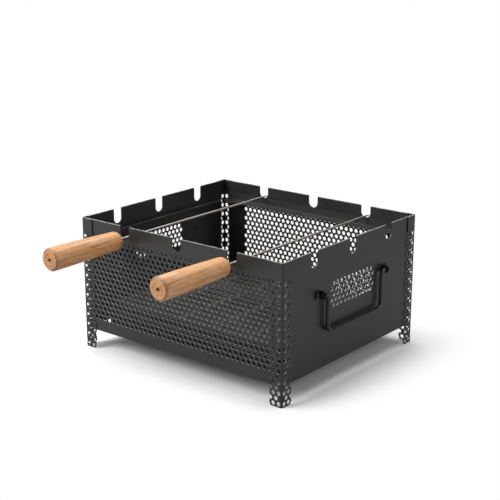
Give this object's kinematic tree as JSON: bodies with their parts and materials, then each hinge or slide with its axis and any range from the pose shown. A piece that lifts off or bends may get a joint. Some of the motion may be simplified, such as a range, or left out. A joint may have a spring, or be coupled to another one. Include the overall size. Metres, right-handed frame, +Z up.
{
  "type": "hibachi grill",
  "caption": "Portable charcoal grill: a perforated sheet-steel firebox on corner posts, with notched rim, drop-down side handles and wooden-gripped skewers.",
  "frame": {"origin": "on the floor, under the middle of the firebox", "axes": "+Z up; -Y is the front, where the skewer grips are; +X is the right-hand side seen from the front"},
  "size_m": [0.3432, 0.4185, 0.176],
  "materials": {
    "black_coat": "satin black heat-resistant powder coat",
    "handle_coat": "semi-gloss black coat",
    "pan_coat": "matte black coat",
    "grate_steel": "heat-dulled dark steel",
    "skewer_steel": "bright drawn stainless steel",
    "grip_wood": "clear-varnished light hardwood"
  },
  "bodies": {
    "firebox": {"front_panel": "black_coat", "rear_panel": "black_coat", "left_side_panel": "black_coat", "right_side_panel": "black_coat", "front_left_post": "black_coat", "front_right_post": "black_coat", "rear_left_post": "black_coat", "rear_right_post": "black_coat", "front_grate_rail": "black_coat", "rear_grate_rail": "black_coat", "left_grate_rail": "black_coat", "right_grate_rail": "black_coat", "front_pan_rail": "black_coat", "rear_pan_rail": "black_coat", "left_handle_lugs": "handle_coat", "right_handle_lugs": "handle_coat", "left_lug_rivets": "handle_coat", "right_lug_rivets": "handle_coat"},
    "left_handle": {"left_carry_handle": "handle_coat"},
    "right_handle": {"right_carry_handle": "handle_coat"},
    "ash_tray": {"ash_pan": "pan_coat"},
    "fire_grate": {"charcoal_grate": "grate_steel"},
    "left_skewer": {"left_skewer_rod": "skewer_steel", "left_skewer_grip": "grip_wood"},
    "right_skewer": {"right_skewer_rod": "skewer_steel", "right_skewer_grip": "grip_wood"}
  },
  "joints": [
    {"name": "left_handle_swing", "type": "hinge", "parent": "firebox", "child": "left_handle", "pos_m": [-0.16675, 0, 0.12], "axis": [0, 1, 0], "range_deg": [0, 180]},
    {"name": "right_handle_swing", "type": "hinge", "parent": "firebox", "child": "right_handle", "pos_m": [0.16675, 0, 0.12], "axis": [0, -1, 0], "range_deg": [0, 180]},
    {"name": "ash_pan_lift", "type": "slide", "parent": "firebox", "child": "ash_tray", "axis": [0, 0, 1], "range_m": [0, 0.045]},
    {"name": "charcoal_grate_lift", "type": "slide", "parent": "ash_tray", "child": "fire_grate", "axis": [0, 0, 1], "range_m": [0, 0.045]},
    {"name": "left_skewer_lift", "type": "slide", "parent": "firebox", "child": "left_skewer", "axis": [0, 0, 1], "range_m": [0, 0.06]},
    {"name": "right_skewer_lift", "type": "slide", "parent": "firebox", "child": "right_skewer", "axis": [0, 0, 1], "range_m": [0, 0.06]}
  ]
}
